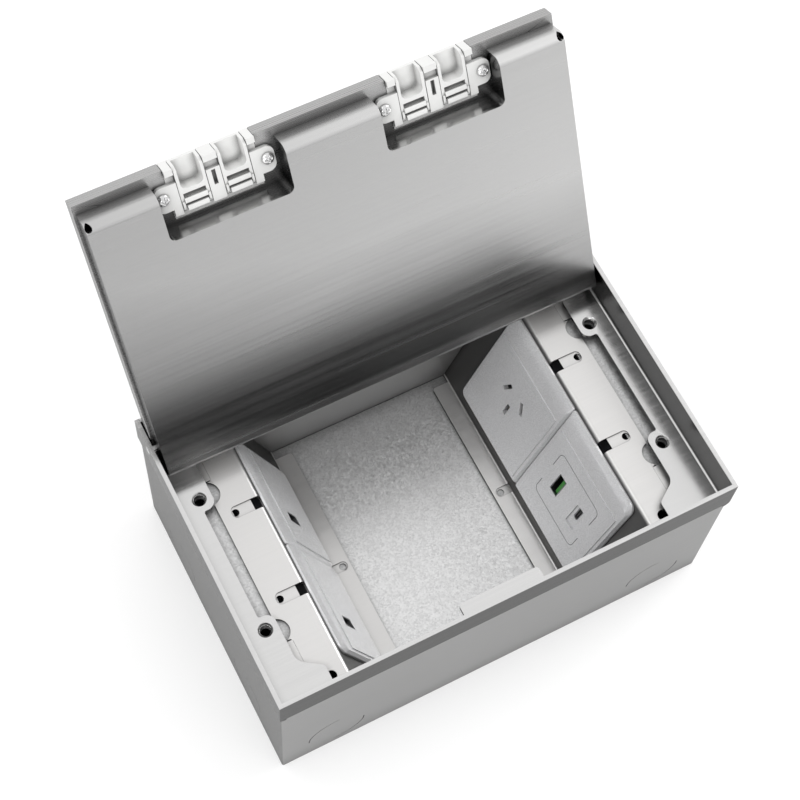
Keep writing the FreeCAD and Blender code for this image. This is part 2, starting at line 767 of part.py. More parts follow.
# ---------------------------------------------------------------- lid, drawn closed
def lid_tray():
    """Shallow tray for the floor covering, cut away at the outlets and around the hinge blocks."""
    tray = block(-tray_side, tray_side, tray_front, tray_rear, tray_under, lid_top)
    tray = tray.cut(block(-tray_inside, tray_inside, tray_front + tray_wall, tray_rear - tray_wall,
                          tray_floor, lid_top + 1))
    cutters = []
    for side in (-1, 1):
        x = side * outlet_x
        cutters.append(block(x - outlet_frame_half, x + outlet_frame_half, tray_front - 1, -outlet_frame_rear,
                             tray_under - 1, lid_top + 1))
        for offset in (-outlet_screw_offset, outlet_screw_offset):
            cutters.append(rod(screw_diameter / 2, (x + offset, -outlet_screw_y, tray_under - 1), (0, 0, 1), 5))
        cutters.append(hinge_block_solid(side))
        cutters.append(hinge_hole(side))
    return without(tray, cutters)


def hinge_hole(side):
    """Clear hole for the hinge pin through the edge of the lid."""
    radius = hinge_pin_diameter / 2 + hinge_wall_clearance
    return rod(radius, (side * tray_inside, hinge_y, hinge_z), (side, 0, 0), tray_wall + 1)


def hinge_block_solid(side):
    low, high = sorted((side * (tray_inside - hinge_block_length), side * tray_inside))
    return block(low, high, hinge_y - hinge_block_half, hinge_y + hinge_block_half,
                 hinge_z - hinge_block_half, hinge_z + hinge_block_half - hinge_block_trim)


def hinge_block(side):
    seat = rod(hinge_bush_diameter / 2, (side * (tray_inside - hinge_block_length), hinge_y, hinge_z),
               (side, 0, 0), hinge_block_length)
    return hinge_block_solid(side).cut(seat)


def hinge_bush(side):
    start = (side * (tray_inside - hinge_block_length), hinge_y, hinge_z)
    bush = rod(hinge_bush_diameter / 2, start, (side, 0, 0), hinge_block_length)
    return bush.cut(rod(hinge_pin_diameter / 2 + hinge_pin_clearance, start, (side, 0, 0), hinge_block_length))


def hinge_pin(side):
    start = side * (tray_inside - hinge_block_length + hinge_pin_inset)
    length = rim_half_x - abs(start)
    return rod(hinge_pin_diameter / 2, (start, hinge_y, hinge_z), (side, 0, 0), length)


def pan_block(shrink):
    """Solid with the folded edges of the pan; the same shape shrunk by the sheet is its inside."""
    solid = block(-pan_side + shrink, pan_side - shrink, -pan_front + shrink, tray_rear - shrink,
                  pan_under + shrink, tray_under)
    under = pan_under + shrink + 0.01
    front = []
    for edge in solid.Edges:
        bounds = edge.BoundBox
        if bounds.ZMax < under and bounds.YMax < -pan_front + shrink + 0.01:
            front.append(edge)
    solid = solid.makeFillet(pan_front_bend - shrink, front)
    rear = []
    for edge in solid.Edges:
        bounds = edge.BoundBox
        if bounds.ZMax < under and bounds.YMin > tray_rear - shrink - 0.01:
            rear.append(edge)
    return solid.makeFillet(pan_side_bend - shrink, rear)


def pocket(side, wall):
    x = side * pocket_x
    half = pocket_width / 2 + wall
    rear = wall - pocket_rear
    corners = [(x - half, -pan_front - 5), (x + half, -pan_front - 5),
               (x + half, rear, pocket_corner + wall), (x - half, rear, pocket_corner + wall)]
    return plate(corners, pan_under - 1, tray_under + 1)


def lid_pan():
    """Deep folded cover under the tray with a walled pocket at each outlet."""
    inside = pan_block(pan_sheet)
    inside = without(inside, [pocket(-1, pan_sheet), pocket(1, pan_sheet)])
    pan = pan_block(0).cut(inside)
    cutters = [pocket(-1, 0), pocket(1, 0), hinge_hole(-1), hinge_hole(1)]
    for side in (-1, 1):
        relief = (side * (pan_side - relief_radius), relief_radius - pan_front, pan_under - 1)
        cutters.append(rod(relief_radius, relief, (0, 0, 1), pan_front_bend + 2))
    return without(pan, cutters)


def outlet_channel(x):
    half = flap_width / 2 + flap_gap
    rear = flap_pivot_y - flap_end - flap_heel
    return block(x - half, x + half, tray_front - 1, -rear, tray_under - 5, lid_top + 1)


def outlet_bracket(side):
    """Moulding with two ears below the tray, a frame up through it and a slotted centre rib."""
    x = side * outlet_x
    low = tray_under - outlet_thickness
    half = outlet_frame_half - outlet_fit
    ears = plate(rectangle(x - outlet_half, x + outlet_half, -outlet_front, -outlet_rear, outlet_corner),
                 low, tray_under)
    frame = block(x - half, x + half, tray_front, -outlet_frame_rear - outlet_fit, tray_under, tray_floor)
    raised = block(x - half, x + half, tray_front, -outlet_step, tray_under, lid_top)
    edge = block(x - half, x + half, tray_front, tray_front + outlet_block, low, tray_under)
    lug_rear = flap_end + flap_heel - flap_pivot_y
    lugs = block(x - half, x + half, -flap_pivot_y - flap_end, lug_rear, low, tray_under)
    rib_half = flap_offset - flap_width / 2 - flap_gap
    rib = block(x - rib_half, x + rib_half, -outlet_front, lug_rear, low, tray_under)
    bracket = joined([ears, frame, raised, edge, lugs, rib])
    slot_front = rib_slot_front - outlet_front
    cutters = [block(x - rib_slot_width / 2, x + rib_slot_width / 2, slot_front, slot_front + rib_slot_length,
                     low - 1, tray_floor - rib_slot_roof)]
    for offset in (-flap_offset, flap_offset):
        cutters.append(outlet_channel(x + offset))
        cutters.append(flap_pin(x + offset))
    for offset in (-outlet_screw_offset, outlet_screw_offset):
        cutters.append(rod(screw_diameter / 2, (x + offset, -outlet_screw_y, low - 1), (0, 0, 1), 5))
    return without(bracket, cutters)


def flap_pin(x):
    half = flap_width / 2 + flap_gap + flap_pin_grip
    return rod(flap_pin_diameter / 2, (x - half, -flap_pivot_y, pivot_z), (1, 0, 0), 2 * half)


def cable_flap(x):
    """Flap with a scoop for the cable, side arms back to the pivot and a stepped knuckle bar."""
    half = flap_width / 2
    low = tray_under - flap_low + flap_lift
    front = tray_front + flap_edge_inset
    scoop_back = -flap_scoop_rear
    body_back = scoop_back + flap_wall
    arm_top = pivot_z + flap_end
    arm_back = flap_end - flap_pivot_y
    side_view = [(front, lid_top), (front, pivot_z + flap_nose_rise),
                 (front + flap_nose, low, flap_nose_corner),
                 (arm_back, low, flap_corner), (arm_back, arm_top, flap_corner),
                 (body_back, arm_top), (body_back, lid_top)]
    flap = along_x(side_view, x - half, x + half)
    inner = half - flap_arm
    scoop = plate([(x - inner, front - 1), (x + inner, front - 1), (x + inner, scoop_back, flap_scoop_corner),
                   (x - inner, scoop_back, flap_scoop_corner)], low - 1, lid_top - flap_skin)
    bar_front = body_back + flap_slit
    slit = block(x - inner, x + inner, body_back, bar_front, low - 1, arm_top + 1)
    step = block(x - inner, x + inner, bar_front - 0.01, arm_back - flap_foot, low - 1, low + flap_step)
    hole = rod(flap_pin_diameter / 2 + flap_pin_clearance, (x - half - 1, -flap_pivot_y, pivot_z),
               (1, 0, 0), flap_width + 2)
    return without(flap, [scoop, slit, step, hole])


def outlet_screw(x):
    """Pan head screw driven up through an ear into the tray."""
    seat = tray_under - outlet_thickness
    shank = rod(screw_diameter / 2, (x, -outlet_screw_y, seat), (0, 0, 1), outlet_thickness + tray_sheet)
    rim = rod(screw_head_diameter / 2, (x, -outlet_screw_y, seat - screw_head_rim), (0, 0, 1), screw_head_rim)
    dome = Part.makeCone(screw_head_top / 2, screw_head_diameter / 2, screw_head_height - screw_head_rim,
                         Vector(x, -outlet_screw_y, seat - screw_head_height))
    return joined([shank, rim, dome])


# ---------------------------------------------------------------- build
rail_right = right_side_rail()
rail_left = mirrored(rail_right)
rails = [rail_left, rail_right]
save("side_rail_right", rail_right)
save("side_rail_left", rail_left)
save("front_rail", end_strip(-rim_half_y, -inside_y, rails))
save("rear_rail", end_strip(inside_y, rim_half_y, rails))
save("body_box", body_box(rails))
save("floor_plate", floor_plate())
save("front_tab", front_tab())
save("earth_stud", earth_stud())

support = right_support_angle()
save("support_angle_right", support)
save("support_angle_left", mirrored(support))
bracket = right_bracket()
save("module_bracket_right", bracket)
save("module_bracket_left", mirrored(bracket))

face, housing, contacts = socket_module()
save("socket_face", on_web(face, 1))
save("socket_housing", on_web(housing, 1))
for name, contact in zip(("active_contact", "neutral_contact", "earth_contact"), contacts):
    save(name, on_web(contact, 1))
charger_names = ("charger_face", "charger_housing", "charger_board", "usb_a_shell", "usb_a_tongue",
                 "usb_c_shell", "usb_c_tongue")
for name, piece in zip(charger_names, charger_module()):
    save(name, on_web(piece, 1))
for place, hand in (("rear", -1), ("front", 1)):
    for name, piece in zip(("face", "housing", "board", "shell", "tongue"), av_module(hand)):
        save("av_" + name + "_" + place, on_web(piece, -1))

save("lid_tray", opened(lid_tray()))
save("lid_pan", opened(lid_pan()))
screws = []
flap_pins = []
for place, side in (("left", -1), ("right", 1)):
    save("hinge_pin_" + place, hinge_pin(side))
    save("hinge_block_" + place, opened(hinge_block(side)))
    save("hinge_bush_" + place, opened(hinge_bush(side)))
    save("outlet_bracket_" + place, opened(outlet_bracket(side)))
    for end, offset in (("a", -flap_offset), ("b", flap_offset)):
        x = side * outlet_x + offset
        save("cable_flap_" + place + "_" + end, opened(cable_flap(x)))
        flap_pins.append(opened(flap_pin(x)))
    for offset in (-outlet_screw_offset, outlet_screw_offset):
        screws.append(opened(outlet_screw(side * outlet_x + offset)))
save("flap_pins", Part.makeCompound(flap_pins))
save("outlet_screws", Part.makeCompound(screws))
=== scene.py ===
"""Finish of the floor socket box: materials, fine detail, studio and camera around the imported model."""
import json
import math

import bmesh
import bpy
from mathutils import Matrix, Vector


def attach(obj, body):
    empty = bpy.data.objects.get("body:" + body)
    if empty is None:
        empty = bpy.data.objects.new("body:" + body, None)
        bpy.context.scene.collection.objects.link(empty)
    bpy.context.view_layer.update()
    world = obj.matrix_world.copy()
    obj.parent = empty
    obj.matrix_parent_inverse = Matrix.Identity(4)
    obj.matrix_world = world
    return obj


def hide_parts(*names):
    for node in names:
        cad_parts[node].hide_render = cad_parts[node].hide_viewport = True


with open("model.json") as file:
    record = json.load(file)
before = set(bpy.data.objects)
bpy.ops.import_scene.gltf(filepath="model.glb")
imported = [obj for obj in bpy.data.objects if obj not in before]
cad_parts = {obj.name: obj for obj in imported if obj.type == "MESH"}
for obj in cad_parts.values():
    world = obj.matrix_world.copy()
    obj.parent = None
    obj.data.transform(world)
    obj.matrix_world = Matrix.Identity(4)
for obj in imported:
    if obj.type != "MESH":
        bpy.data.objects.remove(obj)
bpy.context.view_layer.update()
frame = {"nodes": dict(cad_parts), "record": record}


record = frame["record"]
MM = 0.001


# ------------------------------------------------------------------ node helpers
def grey(level, warm=0.0):
    return (level * (1 + warm), level, level * (1 - warm))


class Nodes:
    """A node tree with short calls for the nodes that are made in it."""

    def __init__(self, tree):
        self.tree = tree

    def node(self, kind, **settings):
        made = self.tree.nodes.new(kind)
        for key, value in settings.items():
            setattr(made, key, value)
        return made

    def link(self, source, target):
        self.tree.links.new(source, target)

    def calculate(self, operation, *terms):
        """Math node over sockets and plain numbers."""
        made = self.node("ShaderNodeMath", operation=operation)
        for index, term in enumerate(terms):
            if isinstance(term, (int, float)):
                made.inputs[index].default_value = term
            else:
                self.link(term, made.inputs[index])
        return made.outputs["Value"]

    def split(self, vector):
        parts = self.node("ShaderNodeSeparateXYZ")
        self.link(vector, parts.inputs[0])
        return parts.outputs

    def spread(self, value, low, high, from_low=0.3, from_high=0.7):
        ranged = self.node("ShaderNodeMapRange")
        ranged.inputs["From Min"].default_value = from_low
        ranged.inputs["From Max"].default_value = from_high
        ranged.inputs["To Min"].default_value = low
        ranged.inputs["To Max"].default_value = high
        self.link(value, ranged.inputs["Value"])
        return ranged.outputs["Result"]

    def blend(self, factor, first, second):
        """Mix of two colours, each a tuple or a socket."""
        mix = self.node("ShaderNodeMix", data_type="RGBA")
        for socket, value in (("Factor", factor), ("A", first), ("B", second)):
            target = next(item for item in mix.inputs if item.name == socket and item.enabled)
            if isinstance(value, tuple):
                target.default_value = value + (1.0,)
            else:
                self.link(value, target)
        return next(item for item in mix.outputs if item.enabled)

    def background_rays(self):
        """One where a ray shows the background: to the camera, in a reflection or through glass."""
        path = self.node("ShaderNodeLightPath").outputs
        mirrored = self.calculate("MAXIMUM", path["Is Camera Ray"], path["Is Glossy Ray"])
        return self.calculate("MAXIMUM", mirrored, path["Is Transmission Ray"])


class Shader(Nodes):
    """A Principled material with short calls for what feeds it."""

    def __init__(self, name):
        self.material = bpy.data.materials.new(name)
        self.material.use_nodes = True
        super().__init__(self.material.node_tree)
        self.main = self.tree.nodes["Principled BSDF"]
        self.place = self.node("ShaderNodeTexCoord").outputs["Object"]

    def set(self, **values):
        for key, value in values.items():
            self.main.inputs[key.replace("_", " ")].default_value = value

    def stretched(self, scale):
        mapping = self.node("ShaderNodeMapping")
        mapping.inputs["Scale"].default_value = scale
        self.link(self.place, mapping.inputs["Vector"])
        return mapping.outputs["Vector"]

    def noise(self, vector, scale, detail, roughness):
        noise = self.node("ShaderNodeTexNoise")
        noise.inputs["Scale"].default_value = scale
        noise.inputs["Detail"].default_value = detail
        noise.inputs["Roughness"].default_value = roughness
        self.link(vector, noise.inputs["Vector"])
        return noise.outputs["Fac"]

    def bump(self, height, strength, distance):
        bump = self.node("ShaderNodeBump")
        bump.inputs["Strength"].default_value = strength
        bump.inputs["Distance"].default_value = distance
        self.link(height, bump.inputs["Height"])
        self.link(bump.outputs["Normal"], self.main.inputs["Normal"])

    def painted_crevice_shade(self, colour, distance, floor_level, power):
        """Painted shade: darken a colour where other surfaces stand close, as in corners, slots and gaps.
        """
        occlusion = self.node("ShaderNodeAmbientOcclusion", samples=6)
        occlusion.inputs["Distance"].default_value = distance
        depth = self.calculate("POWER", occlusion.outputs["AO"], power)
        return self.blend(self.spread(depth, floor_level, 1.0, 0.0, 0.9), grey(0.015), colour)

    def painted_side_shade(self, colour, low, high, side_level, end_level):
        """Painted shade standing in for darker reflections: keep a colour on level faces, darken it on the
        steep ones and again on the two ends.
        """
        normal = self.split(self.node("ShaderNodeTexCoord").outputs["Normal"])
        turned = self.blend(self.spread(normal["Z"], side_level, 1.0, low, high), grey(0.03), colour)
        sideways = self.calculate("ABSOLUTE", normal["X"])
        return self.blend(self.spread(sideways, 1.0, end_level, 0.4, 0.9), grey(0.03), turned)

    def colour(self, output):
        self.link(output, self.main.inputs["Base Color"])

    def roughness(self, output):
        self.link(output, self.main.inputs["Roughness"])


# ------------------------------------------------------------------ materials
def brushed_steel(name, level, rough, grain=(4, 900, 900), spread=0.02, warm=0.004, metallic=1.0,
                  shade=(0.012, 0.25, 1.0), painted_reflection=False, steep=None, steep_range=(0.3, 0.9), ends=0.55):
    """Rolled and brushed stainless: long fine lines along X, soft cloudy variation over them."""
    shader = Shader(name)
    shader.set(Metallic=metallic, Specular_Tint=grey(0.5) + (1,))
    lines = shader.noise(shader.stretched(grain), 1.0, 4.0, 0.6)
    clouds = shader.noise(shader.stretched((14, 14, 14)), 1.0, 3.0, 0.5)
    darker, lighter = grey(level - spread, warm), grey(level + spread, warm)
    tone = shader.blend(shader.spread(lines, 0.0, 1.0), darker, lighter)
    soft = shader.blend(shader.spread(clouds, 0.0, 0.35), tone, grey(level - 1.6 * spread, warm))
    # Painted dark reflection inside the lid near its hinge.
    if painted_reflection:
        soft = painted_hinge_reflection(shader, soft)
    # Painted shade on steep faces and on the two ends, standing in for darker reflections.
    if steep:
        soft = shader.painted_side_shade(soft, *steep_range, steep, ends)
    # Painted shade darkens the colour in corners, slots and gaps.
    shader.colour(shader.painted_crevice_shade(soft, *shade))
    shader.roughness(shader.spread(lines, rough - 0.04, rough + 0.06))
    return shader.material


def painted_hinge_reflection(shader, colour):
    """Painted dark reflection inside the lid near its hinge, paler at the bend and to the right."""
    slope, wander = 0.16, 0.030
    place = shader.split(shader.place)
    across = shader.calculate("MULTIPLY_ADD", place["X"], slope, place["Z"])
    drift = shader.noise(shader.stretched((9, 20, 20)), 1.0, 2.0, 0.5)
    height = shader.calculate("MULTIPLY_ADD", drift, wander, across)
    above = shader.spread(height, 0.20, 1.0, 0.118, 0.182)
    below = shader.spread(height, 1.0, 0.0, 0.103, 0.116)
    bend = shader.spread(place["Z"], 0.9, 0.0, 0.0980, 0.1010)
    streak = shader.calculate("MAXIMUM", shader.calculate("MAXIMUM", above, below), bend)
    swept = shader.blend(streak, grey(0.19), colour)
    return shader.blend(shader.spread(place["X"], 0.70, 1.0, -0.14, 0.10), grey(0.03), swept)


def galvanised_steel(name, level, cell):
    """Zinc spangle: flat crystals of slightly different grey, with fine grit between."""
    shader = Shader(name)
    shader.set(Metallic=0.85)
    crystals = shader.node("ShaderNodeTexVoronoi", feature="F1", voronoi_dimensions="3D")
    crystals.inputs["Scale"].default_value = 1.0 / cell
    wobble = shader.noise(shader.place, 700, 2.0, 0.5)
    offset = shader.node("ShaderNodeVectorMath", operation="MULTIPLY_ADD")
    shader.link(wobble, offset.inputs[0])
    offset.inputs[1].default_value = (cell * 0.6, cell * 0.6, cell * 0.6)
    shader.link(shader.place, offset.inputs[2])
    shader.link(offset.outputs[0], crystals.inputs["Vector"])
    hue = shader.node("ShaderNodeSeparateColor")
    shader.link(crystals.outputs["Color"], hue.inputs[0])
    grit = shader.noise(shader.place, 2600, 2.0, 0.7)
    tone = shader.blend(hue.outputs[0], grey(level - 0.13), grey(level + 0.13))
    gritty = shader.blend(shader.spread(grit, 0.0, 0.55), tone, grey(level + 0.22))
    # Painted shade darkens the spangle in corners, slots and gaps.
    shader.colour(shader.painted_crevice_shade(gritty, 0.010, 0.2, 1.3))
    shader.roughness(shader.spread(hue.outputs[1], 0.30, 0.55, 0.0, 1.0))
    shader.bump(grit, 0.35, 0.00004)
    return shader.material


def moulded_plastic(name, colour, rough, metallic=0.0, shade=(0.004, 0.2, 1.3)):
    """Plastic or paint with a slight cloudiness and a fine grain."""
    variation = 0.03
    shader = Shader(name)
    shader.set(Metallic=metallic)
    clouds = shader.noise(shader.stretched((30, 30, 30)), 1.0, 3.0, 0.5)
    fine = shader.noise(shader.place, 3500, 2.0, 0.6)
    darker = tuple(channel * (1 - variation) for channel in colour)
    lighter = tuple(min(1.0, channel * (1 + variation)) for channel in colour)
    tone = shader.blend(shader.spread(clouds, 0.0, 1.0), darker, lighter)
    # Painted shade darkens the colour in corners, slots and gaps.
    shader.colour(shader.painted_crevice_shade(tone, *shade))
    shader.roughness(shader.spread(fine, rough - 0.04, rough + 0.06))
    shader.bump(fine, 0.2, 0.00001)
    return shader.material


def plated(name, colour, rough):
    """Small bright metal parts with uneven polish."""
    shader = Shader(name)
    shader.set(Metallic=1.0)
    clouds = shader.noise(shader.stretched((220, 220, 220)), 1.0, 3.0, 0.5)
    darker = tuple(channel * 0.8 for channel in colour)
    shader.colour(shader.blend(shader.spread(clouds, 0.0, 1.0), darker, colour))
    shader.roughness(shader.spread(clouds, rough - 0.05, rough + 0.08))
    return shader.material


# Painted light in these finishes: the shade values darken crevices as painted shade, steep and ends darken
# steep faces and the two ends as painted shade, and the lid carries a painted dark reflection near its
# hinge.
finishes = {
    "rim_steel": brushed_steel("rim_steel", 0.70, 0.20, shade=(0.006, 0.3, 1.0), steep=0.24, ends=0.9),
    "tray_steel": brushed_steel("tray_steel", 0.50, 0.26, shade=(0.022, 0.05, 1.8)),
    "lid_steel": brushed_steel("lid_steel", 0.75, 0.22, grain=(5, 500, 500), spread=0.015,
                               shade=(0.014, 0.14, 1.3), painted_reflection=True, steep=0.68, steep_range=(0.5, 0.85)),
    "box_steel": brushed_steel("box_steel", 0.34, 0.40, metallic=0.5, shade=(0.02, 0.35, 1.0), steep=1.0),
    "galvanised": galvanised_steel("galvanised", 0.72, 0.0008),
    "bracket_steel": brushed_steel("bracket_steel", 0.72, 0.32, spread=0.012, warm=0.012, metallic=0.8,
                                   shade=(0.004, 0.15, 1.3), steep=0.25),
    "module_face": moulded_plastic("module_face", (0.80, 0.80, 0.81), 0.26, metallic=0.25,
                                   shade=(0.003, 0.45, 1.0)),
    "module_housing": moulded_plastic("module_housing", (0.10, 0.10, 0.11), 0.5),
    "contact_brass": plated("contact_brass", (0.75, 0.58, 0.30), 0.25),
    "board": moulded_plastic("board", (0.03, 0.20, 0.08), 0.4),
    "port_shell": plated("port_shell", (0.28, 0.28, 0.29), 0.3),
    "usb_a_tongue": moulded_plastic("usb_a_tongue", (0.05, 0.30, 0.04), 0.4),
    "port_tongue": moulded_plastic("port_tongue", (0.02, 0.02, 0.02), 0.4),
    "flap_plastic": moulded_plastic("flap_plastic", (0.76, 0.76, 0.75), 0.36, shade=(0.004, 0.16, 1.4)),
    "outlet_plastic": moulded_plastic("outlet_plastic", (0.76, 0.76, 0.75), 0.36, shade=(0.004, 0.16, 1.4)),
    "bush": moulded_plastic("bush", (0.70, 0.70, 0.66), 0.4),
    "screw": plated("screw", (0.80, 0.80, 0.80), 0.14),
    "stud": plated("stud", (0.75, 0.58, 0.30), 0.25),
    "hinge_steel": plated("hinge_steel", (0.62, 0.62, 0.62), 0.22),
}
print_ink = moulded_plastic("print_ink", (0.10, 0.10, 0.10), 0.5)

# edge radius by material slot, in millimetres
EDGE_ROUNDING = {"rim_steel": 0.25, "tray_steel": 0.3, "lid_steel": 0.2, "box_steel": 0.15,
                 "bracket_steel": 0.12, "module_face": 0.25, "flap_plastic": 0.18, "outlet_plastic": 0.2,
                 "galvanised": 0.1}


def soften_edges(obj, width):
    """Small real-life edge radius, with the piece's own vertices left where they are."""
    weld = obj.modifiers.new("weld", "WELD")
    weld.merge_threshold = 0.000002
    bevel = obj.modifiers.new("edges", "BEVEL")
    bevel.width = width * MM
    bevel.segments = 2
    bevel.limit_method = "ANGLE"
    bevel.angle_limit = math.radians(40)
    bevel.use_clamp_overlap = True
    weighted = obj.modifiers.new("flat_faces", "WEIGHTED_NORMAL")
    weighted.mode = "FACE_AREA_WITH_ANGLE"
    weighted.keep_sharp = True
    weighted.weight = 100


def shade_smooth(mesh):
    for polygon in mesh.polygons:
        polygon.use_smooth = True


slot_of = {entry["node"]: entry["material_slot"] for entry in record["subparts"]}
for node_name, node in frame["nodes"].items():
    slot = slot_of[node_name]
    node.data.materials.clear()
    node.data.materials.append(finishes[slot])
    shade_smooth(node.data)
    if slot in EDGE_ROUNDING:
        soften_edges(node, EDGE_ROUNDING[slot])


# ------------------------------------------------------------------ places, in millimetres
def lid_opening():
    """The move from the closed lid, in which its pieces are drawn, to the open lid at rest."""
    hinge = next(joint for joint in record["behaviour"]["joints"] if joint["name"] == "lid_hinge")
    centre = Vector(hinge["pos_m"]) / MM
    turn = Matrix.Rotation(-math.radians(hinge["range_deg"][1]), 4, "X")
    return Matrix.Translation(centre) @ turn @ Matrix.Translation(-centre)


LID_MATRIX = lid_opening()
LID_FREE_EDGE = -72.3          # Y of the closed lid's free edge
TRAY_UNDERSIDE = 95.3          # Z under the closed lid's tray
OUTLET_X = 51.4
OUTLET_THICKNESS = 1.9
FLAP_OFFSET = 9.9
FLAP_SKIN = 1.8
LEAN = math.radians(20)
WEB_TOP_X, WEB_TOP_Z = 74.062, 77.312
ON_WEB = Matrix(((0, -math.sin(LEAN), -math.cos(LEAN), WEB_TOP_X),
                 (1, 0, 0, 0),
                 (0, -math.cos(LEAN), math.sin(LEAN), WEB_TOP_Z),
                 (0, 0, 0, 1)))   # X along the leaning web, Y down it, Z out of it


# ------------------------------------------------------------------ drawing helpers
def piece(name, build, material, body, matrix=None, rounding=0.0):
    """Mesh drawn in millimetres by a build function, placed, finished and tied to its body."""
    mesh = bpy.data.meshes.new(name)
    sketch = bmesh.new()
    build(sketch)
    if matrix is not None:
        bmesh.ops.transform(sketch, matrix=matrix, verts=sketch.verts)
    bmesh.ops.recalc_face_normals(sketch, faces=sketch.faces)
    bmesh.ops.scale(sketch, vec=(MM, MM, MM), verts=sketch.verts)
    sketch.to_mesh(mesh)
    sketch.free()
    mesh.materials.append(material)
    obj = bpy.data.objects.new(name, mesh)
    bpy.context.scene.collection.objects.link(obj)
    shade_smooth(mesh)
    if rounding:
        soften_edges(obj, rounding)
    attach(obj, body)
    return obj


def join_rows(sketch, first, second):
    """Ring of faces between two closed rows of vertices."""
    for index in range(len(first)):
        after = (index + 1) % len(first)
        sketch.faces.new((first[index], second[index], second[after], first[after]))


def add_prism(sketch, outline, z0, z1):
    """Straight-sided solid over an outline of (x, y) points."""
    low = [sketch.verts.new((x, y, z0)) for x, y in outline]
    high = [sketch.verts.new((x, y, z1)) for x, y in outline]
    sketch.faces.new(low[::-1])
    sketch.faces.new(high)
    join_rows(sketch, low, high)


def add_bar(sketch, x0, x1, profile):
    """Bar along X with a closed (y, z) profile."""
    near = [sketch.verts.new((x0, y, z)) for y, z in profile]
    far = [sketch.verts.new((x1, y, z)) for y, z in profile]
    sketch.faces.new(near)
    sketch.faces.new(far[::-1])
    join_rows(sketch, near, far)


# ------------------------------------------------------------------ added pieces
def add_driver_head(sketch, x, y, seat):
    """Domed screw head with a cross recess, and its shank, pointing down from the seat."""
    radius, crown, edge_height, rings, steps = 2.8, 1.9, 0.55, 22, 64
    slot_half, slot_reach, slot_depth = 0.50, 1.75, 1.0
    side_slope, end_slope = 0.12, 0.15
    shank_radius, shank_length, shank_steps = 1.5, 3.4, 24
    grid = []
    for ring in range(rings + 1):
        reach = radius * ring / rings
        row = []
        for step in range(steps if ring else 1):
            angle = 2 * math.pi * step / steps
            px, py = reach * math.cos(angle), reach * math.sin(angle)
            dome = edge_height + (crown - edge_height) * math.sqrt(max(0.0, 1 - (reach / radius) ** 2))
            along, aside = max(abs(px), abs(py)), min(abs(px), abs(py))
            within = min(1.0, max(0.0, (slot_half - aside) / side_slope))
            within *= min(1.0, max(0.0, (slot_reach - along) / end_slope))
            row.append(sketch.verts.new((x + px, y + py, seat - dome + slot_depth * within)))
        grid.append(row)
    for step in range(steps):
        sketch.faces.new((grid[0][0], grid[1][step], grid[1][(step + 1) % steps]))
    for ring in range(1, rings):
        join_rows(sketch, grid[ring], grid[ring + 1])
    rim = [sketch.verts.new((vertex.co.x, vertex.co.y, seat)) for vertex in grid[rings]]
    join_rows(sketch, grid[rings], rim)
    sketch.faces.new(rim)
    angles = [2 * math.pi * step / shank_steps for step in range(shank_steps)]
    shank = [(x + shank_radius * math.cos(angle), y + shank_radius * math.sin(angle)) for angle in angles]
    add_prism(sketch, shank, seat, seat + shank_length)


def outlet_screws(sketch):
    screw_offset, screw_setback = 23.8, 12.3
    for side in (-1, 1):
        for offset in (-screw_offset, screw_offset):
            add_driver_head(sketch, side * OUTLET_X + offset, LID_FREE_EDGE + screw_setback,
                            TRAY_UNDERSIDE - OUTLET_THICKNESS)


def flap_knuckles(centre):
    """Two stepped bars across the back of a flap, standing proud of it, with a lug at each end."""
    # each profile is (back from the free edge, down from the flap's underside)
    foot_bar = [(15.4, -0.3), (15.4, 0.5), (16.0, 0.9), (17.5, 0.9), (17.9, 0.4), (17.9, -0.3)]
    pivot_bar = [(18.7, -0.2), (18.7, 1.1), (19.2, 1.5), (20.8, 1.5), (21.3, 1.0), (21.3, -0.2)]
    lug = [(16.7, -0.3), (16.7, 0.3), (17.1, 0.6), (19.9, 0.6), (20.3, 0.3), (20.3, -0.3)]
    foot_half, pivot_half, lug_inner, lug_outer = 5.2, 4.8, 5.3, 6.4

    def placed(profile):
        underside = TRAY_UNDERSIDE - FLAP_SKIN
        return [(LID_FREE_EDGE + back, underside - down) for back, down in profile]

    def build(sketch):
        add_bar(sketch, centre - foot_half, centre + foot_half, placed(foot_bar))
        add_bar(sketch, centre - pivot_half, centre + pivot_half, placed(pivot_bar))
        for side in (-1, 1):
            inner, outer = sorted((centre + side * lug_inner, centre + side * lug_outer))
            add_bar(sketch, inner, outer, placed(lug))
    return build


def ear_threads(sketch):
    """A turned ridge inside each threaded hole of the ledges."""
    holes = next(mount for mount in record["mounts"] if mount["name"] == "ledge_holes")
    turns, steps, pitch, half_ridge = 2, 40, 0.6, 0.26
    top = holes["pos_m"][2] / MM + 0.55
    root = holes["dims"]["hole_r_mm"] - 0.01
    crest = holes["dims"]["hole_r_mm"] - 0.30
    for side in (-1, 1):
        for end in (-1, 1):
            centre_x = side * holes["dims"]["spacing_x_mm"] / 2
            centre_y = end * holes["dims"]["spacing_y_mm"] / 2
            before = None
            for step in range(turns * steps + 1):
                angle = 2 * math.pi * step / steps
                z = top - pitch * step / steps
                row = []
                for reach, rise in ((root, half_ridge), (crest, 0.0), (root, -half_ridge)):
                    x, y = centre_x + reach * math.cos(angle), centre_y + reach * math.sin(angle)
                    row.append(sketch.verts.new((x, y, z + rise)))
                if before:
                    join_rows(sketch, before, row)
                before = row


